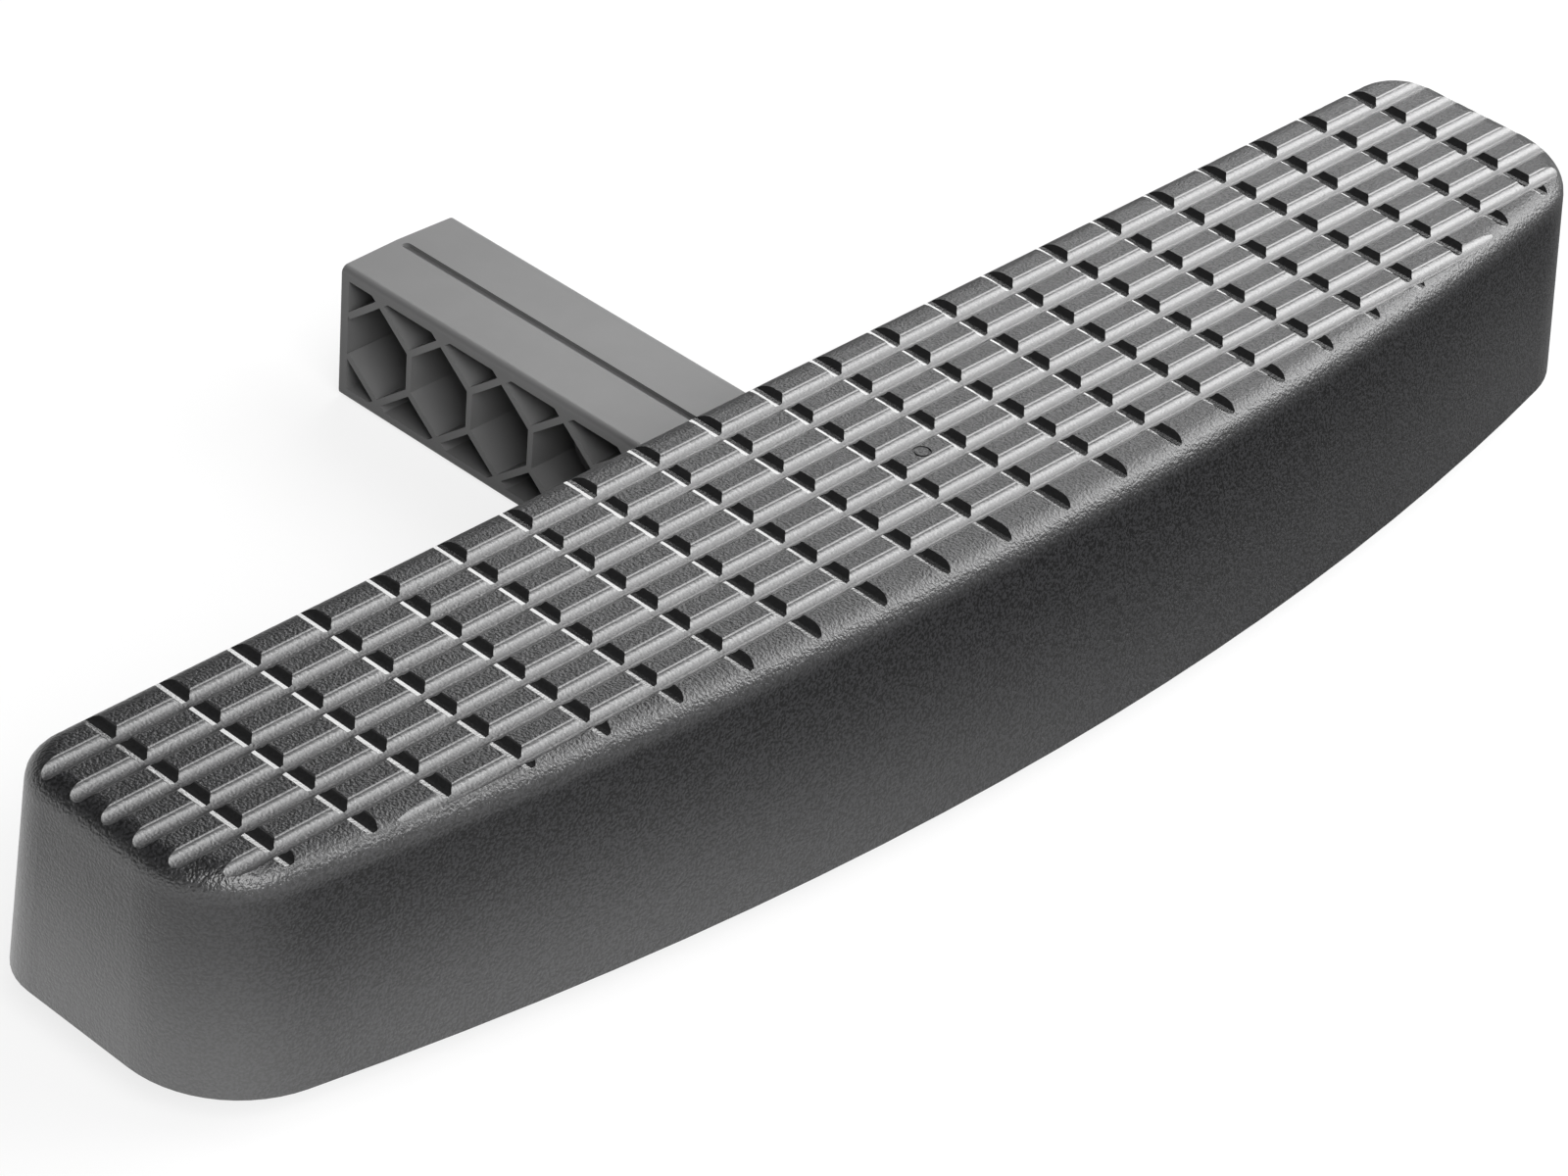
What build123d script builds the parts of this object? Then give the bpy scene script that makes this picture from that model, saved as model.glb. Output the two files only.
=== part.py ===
from build123d import *
import math
import os

# Hitch receiver step, in millimetres.
# The origin is the middle of the hitch pin hole in the bar.
# +X runs along the tread, +Y along the bar to its free end, +Z up.

# Step body: plan sizes at the tread and at the rim, measured from the middle groove of the tread
tread_back = 121.5      # from the pin hole back to the middle groove
tread_height = 62.1     # tread top above the bar's axis
body_height = 74.4      # tread top to rim
top_half_length = 306.1
rim_half_length = 308.9
top_rear = 55.2
rim_rear = 62.6
top_front = 56.2
rim_front = 73.0
top_bow_radius = 1872.0
rim_bow_radius = 1294.0
top_front_corner = 33.7
rim_front_corner = 40.2
top_rear_corner = 18.9
rim_rear_corner = 22.6
edge_radius = 9.1       # rounding between tread and walls
wall = 4.0
skin = 4.0              # left under the grooves
inner_steps = (10, 3, 1, 3, 1, 3, 1, 3)     # flat sides of the hollow along each part of the outline

# Tread grooves
cross_pitch = 26.4
cross_count = 22
long_pitch = 13.2
long_count = 7
cross_top = 6.4
cross_floor = 2.2
cross_depth = 1.9
long_top = 6.4
long_floor = 2.2
long_depth = 2.1
gate_radius = 3.0       # ring left by the moulding gate
gate_line = 0.7
gate_depth = 0.4

# Ribs under the tread
rib = 3.0
rib_recess = 1.5        # rib edges above the rim
cross_rib_step = 2      # grooves from one cross rib to the next
mid_rib_y = 5.0         # middle long rib, ahead of the middle groove when negative

# Square bar
bar_side = 50.5
bar_edge_radius = 2.5
bar_out = 106.7         # pin hole to the middle of the free end
cell_pitch = 28.9
cells_out = 3           # cells between the pin's cell and the free end
cells_in = 5            # cells between the pin's cell and the inner end
end_wall = 4.5
end_proud = 0.9         # middle of each end face beyond its sides
strut = 2.4
flange = 4.3
web = 3.0
cell_side = 15.0        # upright wall of a cell
cell_rise = 19.0        # cell's point above the bar's axis
slot_width = 3.2        # shallow groove along the bar's top
slot_depth = 1.6
slot_margin = 3.2

# Pin hole
pin_hole_radius = 8.35
pin_boss_radius = 12.0
pin_boss_length = 16.0

# Socket for the bar in the body
socket_gap = 0.3
socket_wall = 5.0

# Fasteners
bolt_radius = 4.0
bolt_length = 60.0
bolt_x = 12.0
bolt_cells = (-3, -5)   # cells that hold a pair of bolts, counted from the pin's cell
head_across = 13.0
head_height = 5.3
washer_side = 16.0
washer_thickness = 1.6
head_recess = 8.0
recess_side = 17.0
column_side = 22.0
bolt_gap = 0.5
thread_gap = 0.05
insert_across = 12.0
insert_length = 18.0
insert_gap = 0.05
boss_side = 20.0

# Worked out from the sizes above
rim_z = tread_height - body_height
bar_half = bar_side / 2
bar_in = (cells_in + 0.5) * cell_pitch + end_wall
roof_z = tread_height - long_depth - skin
over = 20.0             # cutting tools reach this far past what they cut


def plan(z, inset=0.0):
    """Arcs and lines of the body's plan outline at height z, moved in by a wall."""
    part = (tread_height - z) / body_height

    def between(top, rim):
        return top + (rim - top) * part - inset

    half_length = between(top_half_length, rim_half_length)
    rear = between(top_rear, rim_rear)
    bow_radius = between(top_bow_radius, rim_bow_radius)
    front_corner = between(top_front_corner, rim_front_corner)
    rear_corner = between(top_rear_corner, rim_rear_corner)
    centre_x = half_length - front_corner
    angle = math.asin(centre_x / (bow_radius - front_corner))
    bow_y = bow_radius - between(top_front, rim_front)
    centre_y = bow_y - (bow_radius - front_corner) * math.cos(angle)
    turn = math.degrees(angle)
    rear_x = half_length - rear_corner
    rear_y = rear - rear_corner
    return [
        CenterArc((0, bow_y), bow_radius, 270 - turn, 2 * turn),
        CenterArc((centre_x, centre_y), front_corner, 270 + turn, 90 - turn),
        Line((half_length, centre_y), (half_length, rear_y)),
        CenterArc((rear_x, rear_y), rear_corner, 0, 90),
        Line((rear_x, rear), (-rear_x, rear)),
        CenterArc((-rear_x, rear_y), rear_corner, 90, 90),
        Line((-half_length, rear_y), (-half_length, centre_y)),
        CenterArc((-centre_x, centre_y), front_corner, 180, 90 - turn),
    ]


def outer_block():
    """Solid between the rim and tread outlines, with a rounded edge around the tread."""
    levels = [Pos(0, -tread_back, z) * Face(Wire(plan(z))) for z in (rim_z, tread_height)]
    block = loft(levels, ruled=True)
    return fillet(block.faces().sort_by(Axis.Z)[-1].edges(), edge_radius)


def inner_block():
    """Hollow of the body: flat-sided, so that no wall is thinner than named."""
    levels = []
    for z in (rim_z - 1, roof_z):
        points = []
        for edge, steps in zip(plan(z, wall), inner_steps):
            points += [edge @ (step / steps) for step in range(steps)]
        levels.append(Pos(0, -tread_back, z) * make_face(Polyline(*points, close=True)))
    return loft(levels, ruled=True)


def groove(top_width, floor_width, depth, length):
    """Long bar with a sloping-sided section, along X, that cuts one groove in the tread."""
    slope = (top_width - floor_width) / 2 / depth
    floor_half = floor_width / 2
    high_half = floor_half + slope * (depth + 1)
    section = make_face(Polyline(
        (-floor_half, 0), (floor_half, 0), (high_half, depth + 1), (-high_half, depth + 1),
        close=True,
    ))
    return Pos(-length / 2, 0, tread_height - depth) * extrude(Plane.YZ * section, length)


def groove_x(index):
    """Place of a cross groove along the tread."""
    return (index - (cross_count - 1) / 2) * cross_pitch


def groove_tools():
    """All the cutters of the tread: long grooves, cross grooves and the ring at the middle."""
    long_cut = groove(long_top, long_floor, long_depth, 2 * rim_half_length + over)
    cross_length = rim_front + rim_rear + over
    cross_cut = Rot(0, 0, 90) * groove(cross_top, cross_floor, cross_depth, cross_length)
    tools = []
    for index in range(long_count):
        offset = (index - (long_count - 1) / 2) * long_pitch
        tools.append(Pos(0, offset - tread_back, 0) * long_cut)
    for index in range(cross_count):
        tools.append(Pos(groove_x(index), (rim_rear - rim_front) / 2 - tread_back, 0) * cross_cut)
    ring = Cylinder(gate_radius, 2 * gate_depth) - Cylinder(gate_radius - gate_line, 2 * gate_depth)
    tools.append(Pos(0, -long_pitch / 2 - tread_back, tread_height) * ring)
    return tools


def hexagon(across):
    """Hexagon from its width across flats."""
    return RegularPolygon(across / 2, 6, major_radius=False)


def bolt_places():
    """Middle of each bolt in plan."""
    return [(side * bolt_x, cell * cell_pitch) for cell in bolt_cells for side in (1, -1)]


def slab(low, high):
    """Box between two corners."""
    size = [b - a for a, b in zip(low, high)]
    return Pos(*[(a + b) / 2 for a, b in zip(low, high)]) * Box(*size)


def lattice():
    """Ribs, socket walls and insert bosses that fill part of the body's hollow."""
    low = rim_z + rib_recess
    high = tread_height
    rear = rim_rear - tread_back
    front = -rim_front - tread_back
    solids = []
    for index in range(1, cross_count, cross_rib_step):
        x = groove_x(index) - cross_pitch / 2
        solids.append(slab((x - rib / 2, front, low), (x + rib / 2, rear, high)))
    stop_y = -bar_in - socket_gap
    solids.append(slab((-rim_half_length, stop_y - rib, low), (rim_half_length, stop_y, high)))
    mid_y = mid_rib_y - tread_back
    solids.append(slab((-rim_half_length, mid_y - rib / 2, low), (rim_half_length, mid_y + rib / 2, high)))
    inside = bar_half + socket_gap
    for side in (1, -1):
        x = sorted((side * inside, side * (inside + socket_wall)))
        solids.append(slab((x[0], stop_y - rib, rim_z), (x[1], rear, high)))
    for x, y in bolt_places():
        reach = boss_side / 2
        solids.append(slab((x - reach, y - reach, bar_half), (x + reach, y + reach, high)))
    return solids


def make_body():
    """Step body: shell, ribs, socket for the bar, insert holes and tread."""
    hollow = inner_block() - lattice()
    inside = bar_half + socket_gap
    passage = slab((-inside, -bar_in - socket_gap, rim_z - over), (inside, over, bar_half))
    holes = []
    for x, y in bolt_places():
        hole = extrude(hexagon(insert_across + 2 * insert_gap), insert_length + insert_gap)
        holes.append(Pos(x, y, bar_half) * hole)
    return outer_block() - hollow - passage - holes - groove_tools()


def strut_bar(start, end):
    """Flat strut of the honeycomb between two points of the side view."""
    dy = end[0] - start[0]
    dz = end[1] - start[1]
    middle = ((start[0] + end[0]) / 2, (start[1] + end[1]) / 2)
    turn = math.degrees(math.atan2(dz, dy))
    return Pos(*middle) * Rot(0, 0, turn) * Rectangle(math.hypot(dy, dz), strut)


def pocket_faces():
    """Side view of the pockets: the web's window less the honeycomb's struts."""
    low_y = -bar_in + end_wall
    high_y = bar_out - end_wall
    window_half = bar_half - flange
    window = Pos((low_y + high_y) / 2, 0) * Rectangle(high_y - low_y, 2 * window_half)
    half = cell_pitch / 2
    slope = (cell_rise - cell_side / 2) / half
    reach = (window_half + strut - cell_side / 2) / slope
    walls = [(index - 0.5) * cell_pitch for index in range(1 - cells_in, cells_out + 1)]
    struts = [strut_bar((y, -cell_side / 2), (y, cell_side / 2)) for y in walls]
    for y in [low_y] + walls + [high_y]:
        for side in (1, -1):
            for up in (1, -1):
                start = (y, up * cell_side / 2)
                end = (y + side * reach, up * (cell_side / 2 + slope * reach))
                struts.append(strut_bar(start, end))
    smallest = strut * strut
    return [face for face in (window - struts).faces() if face.area > smallest]


def make_shank():
    """Square bar: honeycomb pockets from both sides, top groove, pin boss and bolt columns."""
    outline = Polyline(
        (-bar_half, -bar_in + end_proud), (0, -bar_in), (bar_half, -bar_in + end_proud),
        (bar_half, bar_out - end_proud), (0, bar_out), (-bar_half, bar_out - end_proud), close=True,
    )
    bar = Pos(0, 0, -bar_half) * extrude(make_face(outline), bar_side)
    long_edges = bar.edges().filter_by(Axis.Y)
    bar = fillet(long_edges, bar_edge_radius)
    depth = bar_half - web / 2
    pockets = []
    for face in pocket_faces():
        right = Pos(bar_half, 0, 0) * (Plane.YZ * face)
        pockets.append(extrude(right, -depth))
    pockets += [mirror(pocket, Plane.YZ) for pocket in pockets]
    columns = []
    for x, y in bolt_places():
        columns.append(Pos(x, y, 0) * Box(column_side, column_side, bar_side - 2 * flange))
    columns.append(Rot(0, 90, 0) * Cylinder(pin_boss_radius, pin_boss_length))
    bar = bar - pockets + columns
    slot_length = bar_in + bar_out - 2 * slot_margin
    slot = SlotOverall(slot_length, slot_width, rotation=90)
    bar -= Pos(0, (bar_out - bar_in) / 2, bar_half - slot_depth) * extrude(slot, slot_depth + 1)
    bar -= Rot(0, 90, 0) * Cylinder(pin_hole_radius, bar_side)
    for x, y in bolt_places():
        bar -= Pos(x, y, 0) * Cylinder(bolt_radius + bolt_gap, bar_side + over)
        bar -= Pos(x, y, -bar_half) * Box(recess_side, recess_side, 2 * head_recess)
    return bar


def make_bolt():
    """Hex bolt, pointing up, with its origin under the head."""
    head = Pos(0, 0, -head_height) * extrude(hexagon(head_across), head_height)
    return head + Pos(0, 0, bolt_length / 2) * Cylinder(bolt_radius, bolt_length)


def threaded_piece(outline, length):
    """Prism standing on the XY plane with the bolt's hole up its middle."""
    return extrude(outline, length) - Cylinder(bolt_radius + thread_gap, 2 * length + over)


os.makedirs("parts", exist_ok=True)
pieces = {"step_body": make_body(), "hitch_shank": make_shank()}
seat_z = -bar_half + head_recess
bolt = make_bolt()
washer = threaded_piece(Rectangle(washer_side, washer_side), washer_thickness)
insert = threaded_piece(hexagon(insert_across), insert_length)
for number, (x, y) in enumerate(bolt_places(), start=1):
    pieces[f"bolt_washer_{number}"] = Pos(x, y, seat_z - washer_thickness) * washer
    pieces[f"shank_bolt_{number}"] = Pos(x, y, seat_z - washer_thickness) * bolt
    pieces[f"bolt_insert_{number}"] = Pos(x, y, bar_half) * insert
for name, piece in pieces.items():
    export_step(piece, f"parts/{name}.step")
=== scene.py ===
import bmesh
import bpy
import math
from mathutils import Matrix, Vector
from mathutils.bvhtree import BVHTree
from mathutils.interpolate import poly_3d_calc


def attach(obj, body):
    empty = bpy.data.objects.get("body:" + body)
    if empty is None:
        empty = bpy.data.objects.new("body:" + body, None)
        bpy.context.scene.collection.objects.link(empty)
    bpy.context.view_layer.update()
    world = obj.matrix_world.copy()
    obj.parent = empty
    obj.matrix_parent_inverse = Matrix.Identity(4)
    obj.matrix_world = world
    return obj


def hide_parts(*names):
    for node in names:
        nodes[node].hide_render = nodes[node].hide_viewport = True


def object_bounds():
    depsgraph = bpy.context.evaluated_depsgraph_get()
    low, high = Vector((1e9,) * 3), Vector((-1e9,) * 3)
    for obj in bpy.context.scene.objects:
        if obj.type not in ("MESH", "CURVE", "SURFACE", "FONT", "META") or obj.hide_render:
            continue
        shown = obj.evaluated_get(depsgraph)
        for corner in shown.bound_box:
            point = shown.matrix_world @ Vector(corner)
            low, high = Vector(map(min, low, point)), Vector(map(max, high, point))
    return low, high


# Hitch receiver step: looks, light and camera. Everything is in metres, in the CAD frame.
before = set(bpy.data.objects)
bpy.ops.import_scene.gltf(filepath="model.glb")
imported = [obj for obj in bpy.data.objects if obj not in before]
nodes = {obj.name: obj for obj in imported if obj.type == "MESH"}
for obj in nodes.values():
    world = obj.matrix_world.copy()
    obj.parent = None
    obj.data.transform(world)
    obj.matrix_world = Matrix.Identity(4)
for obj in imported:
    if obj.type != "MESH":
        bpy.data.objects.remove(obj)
cad_low, cad_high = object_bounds()

# Tread pattern: the grooves run along the same lines as in the CAD
TREAD_TOP = cad_high.z
TREAD_MIDDLE_Y = -0.1215
CROSS_PITCH = 0.0264
CROSS_COUNT = 22
LONG_PITCH = 0.0132
LONG_COUNT = 7

# Section of the long grooves: a round bottom between rounded lips
LONG_RADIUS = 0.0035
LONG_DEPTH = 0.0023
LONG_LIP = 0.0007

# Section of the cross grooves: a shallow V between hollow walls, with tight lips
CROSS_DEPTH = 0.00205
CROSS_HALF_FLOOR = 0.0015
CROSS_FLOOR_TILT = math.radians(5)
CROSS_WALL_FOOT = math.radians(35)
CROSS_WALL_HEAD = math.radians(60)
CROSS_LIP = 0.0002

# Working of the groove cutters
ROUND_STEPS = 8
WALL_STEPS = 5
LIP_STEPS = 4
LIP_RISE = 0.000004         # a lip ends this far below the tread, so that its cut crosses the tread's face
CUTTER_TOP = 0.002
CUTTER_REACH = 0.4
WELD_DISTANCE = 0.0000001
SLIVER = 0.000001

# Gloss of the body's skin, as specular level, varied by place as painted light: a painted highlight on the
# rounded edge, painted shade on the upper walls, painted sheen at the rim and on the end walls. Heights are
# measured down from the tread.
TREAD_GLOSS = 0.68
EDGE_PAINTED_HIGHLIGHT_GLOSS = 1.0
UPPER_WALL_PAINTED_SHADE_GLOSS = 0.2
RIM_PAINTED_SHEEN_GLOSS = 0.9
END_PAINTED_SHEEN_GLOSS = 0.4             # added on the two end walls
EDGE_STARTS = 0.0005
EDGE_FULL = 0.0035
WALL_BLEND_TOP = 0.004
WALL_BLEND_LOW = 0.011
UPPER_WALL = 0.010
NEAR_RIM = 0.075
END_STARTS = 0.27           # out from the middle of the tread
END_FULL = 0.30

# Grains, as noise scales
PEBBLE_SCALE = 1100.0
HAZE_SCALE = 60.0
MOULD_SCALE = 2200.0
METAL_SCALE = 3000.0

# Floor and world
FLOOR_SIZE = 14
FLOOR_GAP = 0.0003          # keeps the floor off the bar's flat underside
FLOOR_GREY = 0.18
FLOOR_WHITE = 0.8           # glow that brings the lit floor to white for the camera
FLOOR_MIRRORED = 1.15       # glow that the object mirrors left of the fade
FLOOR_FADE = (-0.25, 0.2)   # where the mirrored glow dies away, from left to right
SKY_LIGHT = 0.08
SKY_MIRRORED = 0.9
SKY_FADE = (0.03, 0.25)     # where the mirrored sky dies away, from the horizon up

# Lamps: name, azimuth and elevation seen from the lit place, distance, width, height, radiance
LIT_PLACE = Vector((0, TREAD_MIDDLE_Y, 0.03))
SOFTBOXES = (
    ("key", -18, 50, 2.4, 3.7, 1.3, 3.3),
    ("front_right", -24, 26, 2.4, 2.1, 1.2, 6.2),
    ("front_left", -120, 40, 2.0, 1.3, 1.2, 8),
)
REAR_STRIP_PLACE = LIT_PLACE + Vector((0.72, 0.54, 0.43))
REAR_STRIP_ALONG = Vector((0.96, -0.15, -0.2))
REAR_STRIP_WIDTH = 0.86
REAR_STRIP_HEIGHT = 0.13
REAR_STRIP_RADIANCE = 5.5

# Camera of the photo
CAMERA_PLACE = Vector((0, TREAD_MIDDLE_Y, TREAD_TOP)) + Vector((-1.0260, -0.8624, 0.8794))
CAMERA_RIGHT = Vector((0.69717, -0.71333, 0.07157))
CAMERA_FORWARD = Vector((0.61401, 0.54259, -0.57322))
CAMERA_LENS = 120.97
CAMERA_SENSOR = 36


class Graph:
    """Short calls for building the nodes of a material or of the world."""

    def __init__(self, owner, output_kind="ShaderNodeOutputMaterial"):
        owner.use_nodes = True
        self.owner = owner
        self.tree = owner.node_tree
        self.tree.nodes.clear()
        self.output = self.tree.nodes.new(output_kind)

    def node(self, kind, **values):
        """New node with its input sockets set or joined by name."""
        made = self.tree.nodes.new(kind)
        for name, value in values.items():
            self.feed(made, name.replace("_", " "), value)
        return made

    def feed(self, node, key, value):
        """Sets the input socket of a name or number to a constant, or joins it to an output socket."""
        socket = node.inputs[key]
        if isinstance(value, bpy.types.NodeSocket):
            self.tree.links.new(value, socket)
        else:
            socket.default_value = value

    def math(self, operation, *values):
        """Output of one math node."""
        made = self.tree.nodes.new("ShaderNodeMath")
        made.operation = operation
        for index, value in enumerate(values):
            self.feed(made, index, value)
        return made.outputs[0]

    def ramp(self, value, low, high, low_out=0.0, high_out=1.0, kind="SMOOTHSTEP"):
        """Step of a value from low to high, smooth unless said otherwise."""
        made = self.node("ShaderNodeMapRange", From_Min=low, From_Max=high, To_Min=low_out, To_Max=high_out)
        made.interpolation_type = kind
        self.feed(made, "Value", value)
        return made.outputs["Result"]

    def colour_mix(self, factor, first, second):
        """Colour between two colours, whose sockets have numbers because their names aren't unique."""
        made = self.tree.nodes.new("ShaderNodeMix")
        made.data_type = "RGBA"
        for index, value in ((0, factor), (6, (*first, 1)), (7, (*second, 1))):
            self.feed(made, index, value)
        return made.outputs[2]

    def coordinates(self, kind="Object"):
        """Texture coordinates of a kind."""
        return self.tree.nodes.new("ShaderNodeTexCoord").outputs[kind]

    def part(self, coordinates, axis):
        """One part of some coordinates."""
        return self.node("ShaderNodeSeparateXYZ", Vector=coordinates).outputs[axis]

    def noise(self, coordinates, scale, detail):
        """Grey value of a noise texture."""
        return self.node("ShaderNodeTexNoise", Vector=coordinates, Scale=scale, Detail=detail).outputs["Fac"]

    def bump(self, height, strength, distance):
        """Normal bent by a height."""
        made = self.node("ShaderNodeBump", Height=height, Strength=strength, Distance=distance)
        return made.outputs["Normal"]

    def rays(self):
        """1 for rays straight from the camera, and 1 for rays off or through a surface."""
        path = self.tree.nodes.new("ShaderNodeLightPath").outputs
        return path["Is Camera Ray"], self.math("MAXIMUM", path["Is Glossy Ray"], path["Is Transmission Ray"])

    def finish(self, shader):
        """Joins the shader to the output and gives the material or world."""
        self.tree.links.new(shader.outputs[0], self.output.inputs["Surface"])
        return self.owner


def material_graph(name):
    """Graph of a new material."""
    return Graph(bpy.data.materials.new(name))


def pebbled_plastic(g, pebble_height, roughness, gloss, coat, dark, light):
    """Black plastic with pebbles of a given height, with painted shade between them and painted light on their
    tops.
    """
    pebble = g.noise(g.coordinates(), PEBBLE_SCALE, 1.0)
    normal = g.bump(pebble, 1.0, pebble_height)
    # Painted shade and light: the colour follows the pebbles' height, dark in their hollows and light on their
    # tops.
    base = g.colour_mix(g.ramp(pebble, 0.4, 0.6), dark, light)
    shader = g.node("ShaderNodeBsdfPrincipled", Base_Color=base, Normal=normal, Roughness=roughness,
                    Specular_IOR_Level=gloss, Coat_Weight=coat, Coat_Roughness=roughness, Coat_Normal=normal)
    return g.finish(shader)


def painted_sheen_gloss(g):
    """Gloss of the skin, varied by place as painted light: full on the rounded edge as a painted highlight, low
    on the upper walls as painted shade, more at the rim and the ends as painted sheen.
    """
    place = g.coordinates()
    height = g.part(place, "Z")
    out = g.math("ABSOLUTE", g.part(place, "X"))
    # Painted shade and sheen: gloss low on the upper walls, rising towards the rim, with more added on the end
    # walls.
    wall = g.ramp(height, TREAD_TOP - NEAR_RIM, TREAD_TOP - UPPER_WALL, RIM_PAINTED_SHEEN_GLOSS, UPPER_WALL_PAINTED_SHADE_GLOSS)
    wall = g.math("ADD", wall, g.ramp(out, END_STARTS, END_FULL, 0.0, END_PAINTED_SHEEN_GLOSS))
    # Painted highlight: full gloss on the rounded edge of the tread.
    edge = g.ramp(height, TREAD_TOP - EDGE_FULL, TREAD_TOP - EDGE_STARTS, EDGE_PAINTED_HIGHLIGHT_GLOSS, TREAD_GLOSS)
    top = g.ramp(height, TREAD_TOP - WALL_BLEND_LOW, TREAD_TOP - WALL_BLEND_TOP)
    below = g.math("SUBTRACT", 1.0, top)
    return g.math("ADD", g.math("MULTIPLY", top, edge), g.math("MULTIPLY", below, wall))


def bar_plastic():
    """Smooth grey plastic with a faint mould haze."""
    g = material_graph("bar_plastic")
    place = g.coordinates()
    haze = g.noise(place, HAZE_SCALE, 3.0)
    base = g.colour_mix(g.ramp(haze, 0.3, 0.7), (0.152, 0.152, 0.152), (0.160, 0.160, 0.160))
    normal = g.bump(g.noise(place, MOULD_SCALE, 2.0), strength=0.08, distance=0.0001)
    return g.finish(g.node("ShaderNodeBsdfPrincipled", Base_Color=base, Roughness=0.45, Normal=normal))


def metal(name, colour, roughness):
    """Plated metal with a fine grain, whose roughness varies by 15 percent."""
    g = material_graph(name)
    grain = g.noise(g.coordinates(), METAL_SCALE, 2.0)
    varied = g.ramp(grain, 0.3, 0.7, roughness * 0.85, roughness * 1.15)
    return g.finish(g.node("ShaderNodeBsdfPrincipled", Base_Color=(*colour, 1), Metallic=1.0, Roughness=varied))


def assign(node_name, material):
    """Puts a material on a CAD node."""
    piece = nodes[node_name]
    piece.data.materials.clear()
    piece.data.materials.append(material)


steel = metal("bolt_steel", (0.56, 0.57, 0.58), 0.35)
brass = metal("insert_brass", (0.72, 0.55, 0.27), 0.3)
assign("hitch_shank", bar_plastic())
for number in range(1, 5):
    assign(f"shank_bolt_{number}", steel)
    assign(f"bolt_washer_{number}", steel)
    assign(f"bolt_insert_{number}", brass)

skin_graph = material_graph("body_plastic")
# In each plastic below, dark is painted shade in the pebbles' hollows and light is painted light on their tops.
BODY_MATERIALS = (
    pebbled_plastic(
        skin_graph, pebble_height=0.00032, roughness=0.38, gloss=painted_sheen_gloss(skin_graph), coat=0.0,
        dark=(0.003, 0.003, 0.0033), light=(0.020, 0.020, 0.0215)),
    # Painted sheen: the long grooves' plastic is the body's with a full coat and full gloss, so that the
    # stripes shine.
    pebbled_plastic(
        material_graph("long_groove_plastic_painted_sheen"), pebble_height=0.00010, roughness=0.36, gloss=1.0, coat=1.0,
        dark=(0.010, 0.010, 0.011), light=(0.018, 0.018, 0.019)),
    # Painted shade: the cross grooves' plastic is the body's made darker, so that these grooves read black.
    pebbled_plastic(
        material_graph("cross_groove_plastic_painted_shade"), pebble_height=0.00002, roughness=0.15, gloss=1.0, coat=0.8,
        dark=(0.004, 0.004, 0.0042), light=(0.008, 0.008, 0.0085)),
)
SKIN_SLOT, LONG_SLOT, CROSS_SLOT = range(3)


def arc(centre, radius, first, last, steps, hollow):
    """Points of a section's arc as (offset, height, tilt of the surface)."""
    side = 1 if hollow else -1
    points = []
    for step in range(steps + 1):
        tilt = first + (last - first) * step / steps
        offset = centre[0] + side * radius * math.sin(tilt)
        points.append((offset, centre[1] - side * radius * math.cos(tilt), tilt))
    return points


def lip(inner, tilt, edge):
    """Rounded lip from an inner offset and tilt up to the tread."""
    last = math.acos(1 - LIP_RISE / edge)
    return arc((inner + edge * math.sin(tilt), -edge), edge, tilt, last, LIP_STEPS, False)


def round_half(radius, depth, edge):
    """Half section of a round-bottomed groove."""
    lift = radius - depth
    tilt = math.acos((lift + edge) / (radius + edge))
    return arc((0, lift), radius, 0, tilt, ROUND_STEPS, True) + lip(radius * math.sin(tilt), tilt, edge)


def ridged_half(depth, half_floor, floor_tilt, foot, head, edge):
    """Half section of a groove with a shallow V for a floor and hollow walls that steepen upwards."""
    corner = half_floor * math.tan(floor_tilt) - depth
    radius = (-edge * (1 - math.cos(head)) - corner) / (math.cos(foot) - math.cos(head))
    centre = (half_floor - radius * math.sin(foot), corner + radius * math.cos(foot))
    wall = arc(centre, radius, foot, head, WALL_STEPS, True)
    return [(0, -depth, floor_tilt), (half_floor, corner, floor_tilt)] + wall + lip(wall[-1][0], head, edge)


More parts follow.
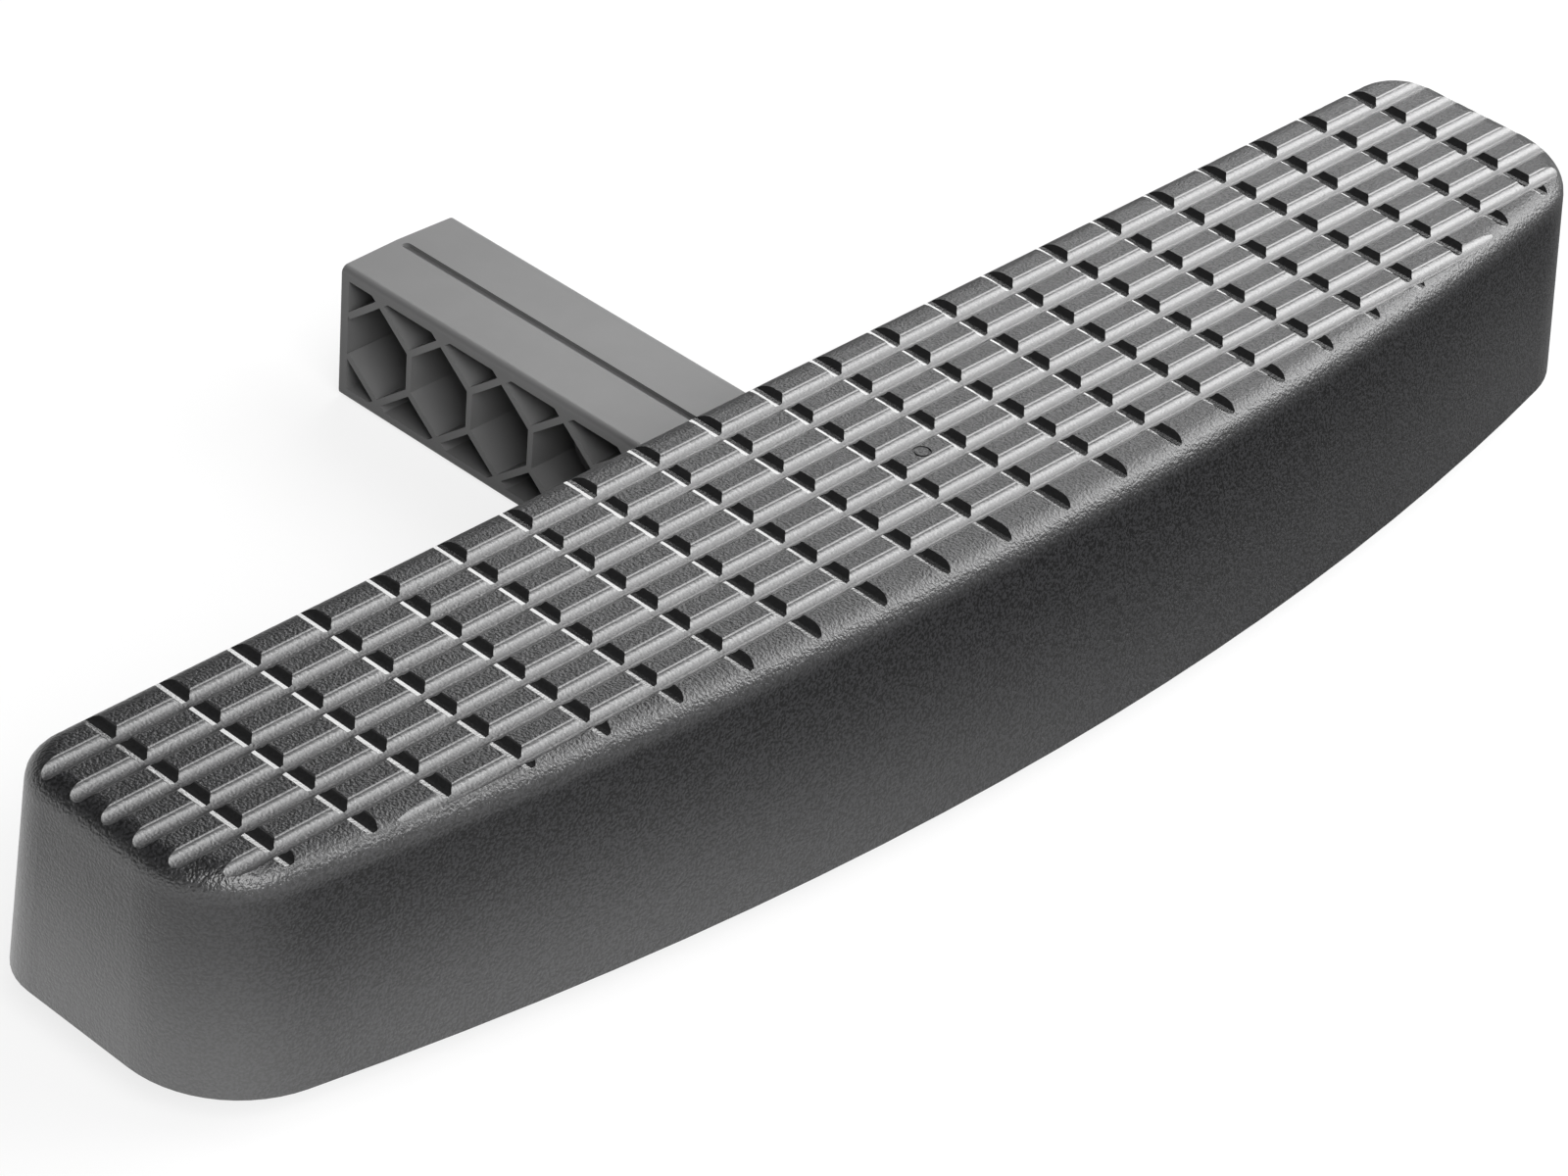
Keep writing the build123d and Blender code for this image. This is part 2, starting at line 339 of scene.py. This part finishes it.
class Groove:
    """One set of parallel grooves with the same half section on both sides."""

    def __init__(self, slot, width_axis, half, places):
        self.slot = slot
        self.width_axis = width_axis
        self.half = half
        self.places = places

    def outline(self):
        """Section of the cutter as (offset, height above the tread) points."""
        half = []
        for offset, height, tilt in self.half:
            if not half or offset - half[-1][0] > SLIVER:
                half.append((offset, height))
        half.append((half[-1][0], CUTTER_TOP))
        return [(-offset, height) for offset, height in reversed(half[1:])] + half

    def place(self, along, offset, height):
        """Point from the position along a groove, across it and up."""
        point = [along, along, TREAD_TOP + height]
        point[self.width_axis] = offset
        return point

    def cutter(self):
        """Object that holds one prism per groove."""
        outline = self.outline()
        count = len(outline)
        points = []
        faces = []
        for middle in self.places:
            first = len(points)
            for along in (-CUTTER_REACH, CUTTER_REACH):
                points += [self.place(along, middle + offset, height) for offset, height in outline]
            faces.append([first + i for i in range(count)])
            faces.append([first + count + i for i in reversed(range(count))])
            for i in range(count):
                j = (i + 1) % count
                faces.append([first + i, first + count + i, first + count + j, first + j])
        mesh = bpy.data.meshes.new("groove_cutter")
        mesh.from_pydata(points, [], faces)
        bm = bmesh.new()
        bm.from_mesh(mesh)
        bmesh.ops.recalc_face_normals(bm, faces=bm.faces)
        bm.to_mesh(mesh)
        bm.free()
        return body_object("groove_cutter", mesh, self.slot)

    def normal(self, point, centre):
        """Exact normal of the groove's surface at a corner of the face with the given centre."""
        nearest = min(self.places, key=lambda middle: abs(middle - centre[self.width_axis]))
        side = math.copysign(1, centre[self.width_axis] - nearest)
        inside = abs(centre[self.width_axis] - nearest)
        offset = abs(point[self.width_axis] - nearest)
        tilt = self.half[-1][2]
        for start, end in zip(self.half, self.half[1:]):
            if end[0] - start[0] > SLIVER and start[0] <= inside <= end[0]:
                share = min(max((offset - start[0]) / (end[0] - start[0]), 0), 1)
                tilt = start[2] + (end[2] - start[2]) * share
                break
        normal = [0, 0, math.cos(tilt)]
        normal[self.width_axis] = -side * math.sin(tilt)
        return Vector(normal)


def body_object(name, mesh, slot):
    """Object of a mesh that has the body's materials, all of its faces in one slot."""
    mesh.materials.clear()
    for material in BODY_MATERIALS:
        mesh.materials.append(material)
    for face in mesh.polygons:
        face.material_index = slot
    made = bpy.data.objects.new(name, mesh)
    bpy.context.scene.collection.objects.link(made)
    return made


def along_tread(pitch, count, middle):
    """Middles of evenly spaced grooves."""
    return [middle + (index - (count - 1) / 2) * pitch for index in range(count)]


def cut(target, cutter):
    """Cuts an object with a cutter, which is deleted."""
    modifier = target.modifiers.new("cut", "BOOLEAN")
    modifier.operation = "DIFFERENCE"
    modifier.solver = "EXACT"
    modifier.object = cutter
    view = bpy.context.evaluated_depsgraph_get()
    mesh = bpy.data.meshes.new_from_object(target.evaluated_get(view))
    target.modifiers.clear()
    target.data = mesh
    bpy.data.objects.remove(cutter)


def carry_normals(mesh, source, grooves):
    """Gives each corner its true normal: worked out in the grooves, taken from the CAD elsewhere."""
    tree = BVHTree.FromPolygons([v.co for v in source.vertices], [list(p.vertices) for p in source.polygons])
    by_slot = {groove.slot: groove for groove in grooves}
    normals = []
    for face in mesh.polygons:
        groove = by_slot.get(face.material_index)
        found = source.polygons[tree.find_nearest(face.center)[2]]
        corners = [source.vertices[index].co for index in found.vertices]
        known = [source.corner_normals[index].vector for index in found.loop_indices]
        for index in face.vertices:
            point = mesh.vertices[index].co
            if groove:
                normals.append(groove.normal(point, face.center))
                continue
            blended = Vector((0, 0, 0))
            for weight, normal in zip(poly_3d_calc(corners, point), known):
                blended += weight * normal
            normals.append(blended.normalized())
    mesh.polygons.foreach_set("use_smooth", [True] * len(mesh.polygons))
    mesh.normals_split_custom_set(normals)


def dress_body():
    """Replaces the step body with a copy whose grooves have their true section."""
    source = nodes["step_body"]
    mesh = source.data.copy()
    bm = bmesh.new()
    bm.from_mesh(mesh)
    bmesh.ops.remove_doubles(bm, verts=bm.verts, dist=WELD_DISTANCE)
    bm.to_mesh(mesh)
    bm.free()
    made = body_object("tread_body", mesh, SKIN_SLOT)
    long_half = round_half(LONG_RADIUS, LONG_DEPTH, LONG_LIP)
    cross_half = ridged_half(
        CROSS_DEPTH, CROSS_HALF_FLOOR, CROSS_FLOOR_TILT, CROSS_WALL_FOOT, CROSS_WALL_HEAD, CROSS_LIP)
    grooves = [
        Groove(LONG_SLOT, 1, long_half, along_tread(LONG_PITCH, LONG_COUNT, TREAD_MIDDLE_Y)),
        Groove(CROSS_SLOT, 0, cross_half, along_tread(CROSS_PITCH, CROSS_COUNT, 0)),
    ]
    for groove in grooves:
        cut(made, groove.cutter())
    carry_normals(made.data, source.data, grooves)
    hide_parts("step_body")
    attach(made, "root")


def make_floor():
    """Pale floor that shows white to the camera and fades to the right where it is mirrored."""
    g = material_graph("floor_white")
    from_camera, mirrored = g.rays()
    fade = g.ramp(g.part(g.coordinates(), "X"), *FLOOR_FADE, FLOOR_MIRRORED, 0.0)
    seen = g.math("MAXIMUM", g.math("MULTIPLY", from_camera, FLOOR_WHITE), g.math("MULTIPLY", mirrored, fade))
    pale = g.node("ShaderNodeBsdfDiffuse", Color=(FLOOR_GREY, FLOOR_GREY, FLOOR_GREY, 1))
    glow = g.node("ShaderNodeEmission", Color=(1, 1, 1, 1), Strength=seen)
    both = g.tree.nodes.new("ShaderNodeAddShader")
    for index, shader in enumerate((pale, glow)):
        g.feed(both, index, shader.outputs[0])
    bpy.ops.mesh.primitive_plane_add(size=FLOOR_SIZE, location=(0, 0, cad_low.z - FLOOR_GAP))
    floor = bpy.context.object
    floor.name = "floor"
    floor.data.materials.append(g.finish(both))


def make_world():
    """Soft grey light that shows white to the camera, and white near the horizon where it is mirrored."""
    g = Graph(bpy.data.worlds.new("studio"), "ShaderNodeOutputWorld")
    from_camera, mirrored = g.rays()
    fade = g.ramp(g.part(g.coordinates("Generated"), "Z"), *SKY_FADE, SKY_MIRRORED, 0.0, "LINEAR")
    shown = g.math("MAXIMUM", g.math("MULTIPLY", mirrored, fade), from_camera)
    light = g.math("ADD", shown, SKY_LIGHT)
    bpy.context.scene.world = g.finish(g.node("ShaderNodeBackground", Color=(1, 1, 1, 1), Strength=light))


def lamp(name, place, along, width, height, radiance):
    """Area light whose width runs along a direction, turned to the lit place, with a given radiance."""
    light = bpy.data.lights.new(name, "AREA")
    light.shape = "RECTANGLE"
    light.size = width
    light.size_y = height
    light.energy = radiance * math.pi * width * height
    made = bpy.data.objects.new(name, light)
    bpy.context.scene.collection.objects.link(made)
    away = place - LIT_PLACE
    across = along.normalized()
    facing = (away - away.dot(across) * across).normalized()
    turn = Matrix((across, facing.cross(across), facing)).transposed()
    made.matrix_world = Matrix.Translation(place) @ turn.to_4x4()


def softbox(name, azimuth, elevation, distance, width, height, radiance):
    """Level area light seen from the lit place in a given direction, in degrees."""
    turn = math.radians(azimuth)
    lift = math.radians(elevation)
    direction = Vector((math.cos(lift) * math.cos(turn), math.cos(lift) * math.sin(turn), math.sin(lift)))
    along = Vector((-math.sin(turn), math.cos(turn), 0))
    lamp(name, LIT_PLACE + direction * distance, along, width, height, radiance)


def make_camera():
    """Camera fitted to the photo."""
    data = bpy.data.cameras.new("camera")
    data.lens = CAMERA_LENS
    data.sensor_width = CAMERA_SENSOR
    camera = bpy.data.objects.new("camera", data)
    bpy.context.scene.collection.objects.link(camera)
    back = -CAMERA_FORWARD.normalized()
    right = (CAMERA_RIGHT - CAMERA_RIGHT.dot(back) * back).normalized()
    turn = Matrix((right, back.cross(right), back)).transposed()
    camera.matrix_world = Matrix.Translation(CAMERA_PLACE) @ turn.to_4x4()
    bpy.context.scene.camera = camera


dress_body()
make_floor()
make_world()
for box in SOFTBOXES:
    softbox(*box)
lamp(
    "rear_strip", REAR_STRIP_PLACE, REAR_STRIP_ALONG, REAR_STRIP_WIDTH, REAR_STRIP_HEIGHT, REAR_STRIP_RADIANCE)
make_camera()
bpy.context.scene.view_settings.view_transform = "Standard"
